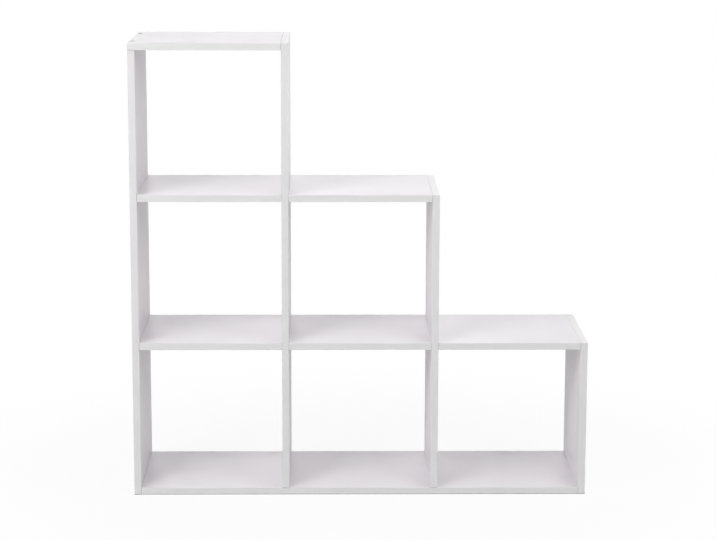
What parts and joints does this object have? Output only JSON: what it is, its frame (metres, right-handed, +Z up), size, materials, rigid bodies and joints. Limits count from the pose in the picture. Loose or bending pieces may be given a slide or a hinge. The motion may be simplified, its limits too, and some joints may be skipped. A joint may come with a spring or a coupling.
{
  "type": "staircase bookshelf",
  "caption": "White free-standing step bookshelf: open-backed square compartments in columns that descend like a staircase, for books, boxes and display.",
  "frame": {"origin": "on the floor, under the middle of the shelf's width and depth", "axes": "+Z up, +X to the right along the width, towards the low step, +Y to the back"},
  "size_m": [0.975, 0.3, 0.975],
  "materials": {
    "white_board": "white melamine-faced particle board, satin with a fine even texture",
    "edge_band": "white plastic edge banding, satin, rounded arrises",
    "screw_steel": "blackened steel, matt, hex socket",
    "bolt_steel": "bright zinc-plated turned steel",
    "cam_zinc": "die-cast zinc, matt",
    "dowel_beech": "bare fluted beech"
  },
  "bodies": {
    "root": {"bottom_left_dowel": "dowel_beech", "bottom_left_screws": "screw_steel", "bottom_panel": "white_board", "bottom_panel_edge_band": "edge_band", "bottom_right_dowel": "dowel_beech", "bottom_right_screws": "screw_steel", "left_side_panel": "white_board", "left_side_panel_edge_band": "edge_band", "low_step_dowel": "dowel_beech", "low_step_screws": "screw_steel", "low_step_top": "white_board", "low_step_top_edge_band": "edge_band", "lower_left_crossing_bolts": "bolt_steel", "lower_left_crossing_dowel": "dowel_beech", "lower_left_crossing_left_cams": "cam_zinc", "lower_left_crossing_right_cams": "cam_zinc", "lower_left_shelf": "white_board", "lower_left_shelf_edge_band": "edge_band", "lower_middle_shelf": "white_board", "lower_middle_shelf_edge_band": "edge_band", "lower_right_crossing_bolts": "bolt_steel", "lower_right_crossing_dowel": "dowel_beech", "lower_right_crossing_left_cams": "cam_zinc", "lower_right_crossing_right_cams": "cam_zinc", "lower_shelf_dowel": "dowel_beech", "lower_shelf_screws": "screw_steel", "middle_divider": "white_board", "middle_divider_edge_band": "edge_band", "middle_divider_foot_dowel": "dowel_beech", "middle_divider_foot_screws": "screw_steel", "middle_step_dowel": "dowel_beech", "middle_step_screws": "screw_steel", "middle_step_top": "white_board", "middle_step_top_edge_band": "edge_band", "right_side_panel": "white_board", "right_side_panel_edge_band": "edge_band", "tall_divider": "white_board", "tall_divider_edge_band": "edge_band", "tall_divider_foot_dowel": "dowel_beech", "tall_divider_foot_screws": "screw_steel", "top_left_dowel": "dowel_beech", "top_left_screws": "screw_steel", "top_panel": "white_board", "top_panel_edge_band": "edge_band", "top_right_dowel": "dowel_beech", "top_right_screws": "screw_steel", "upper_crossing_bolts": "bolt_steel", "upper_crossing_dowel": "dowel_beech", "upper_crossing_left_cams": "cam_zinc", "upper_crossing_right_cams": "cam_zinc", "upper_shelf": "white_board", "upper_shelf_dowel": "dowel_beech", "upper_shelf_edge_band": "edge_band", "upper_shelf_screws": "screw_steel"}
  },
  "joints": []
}
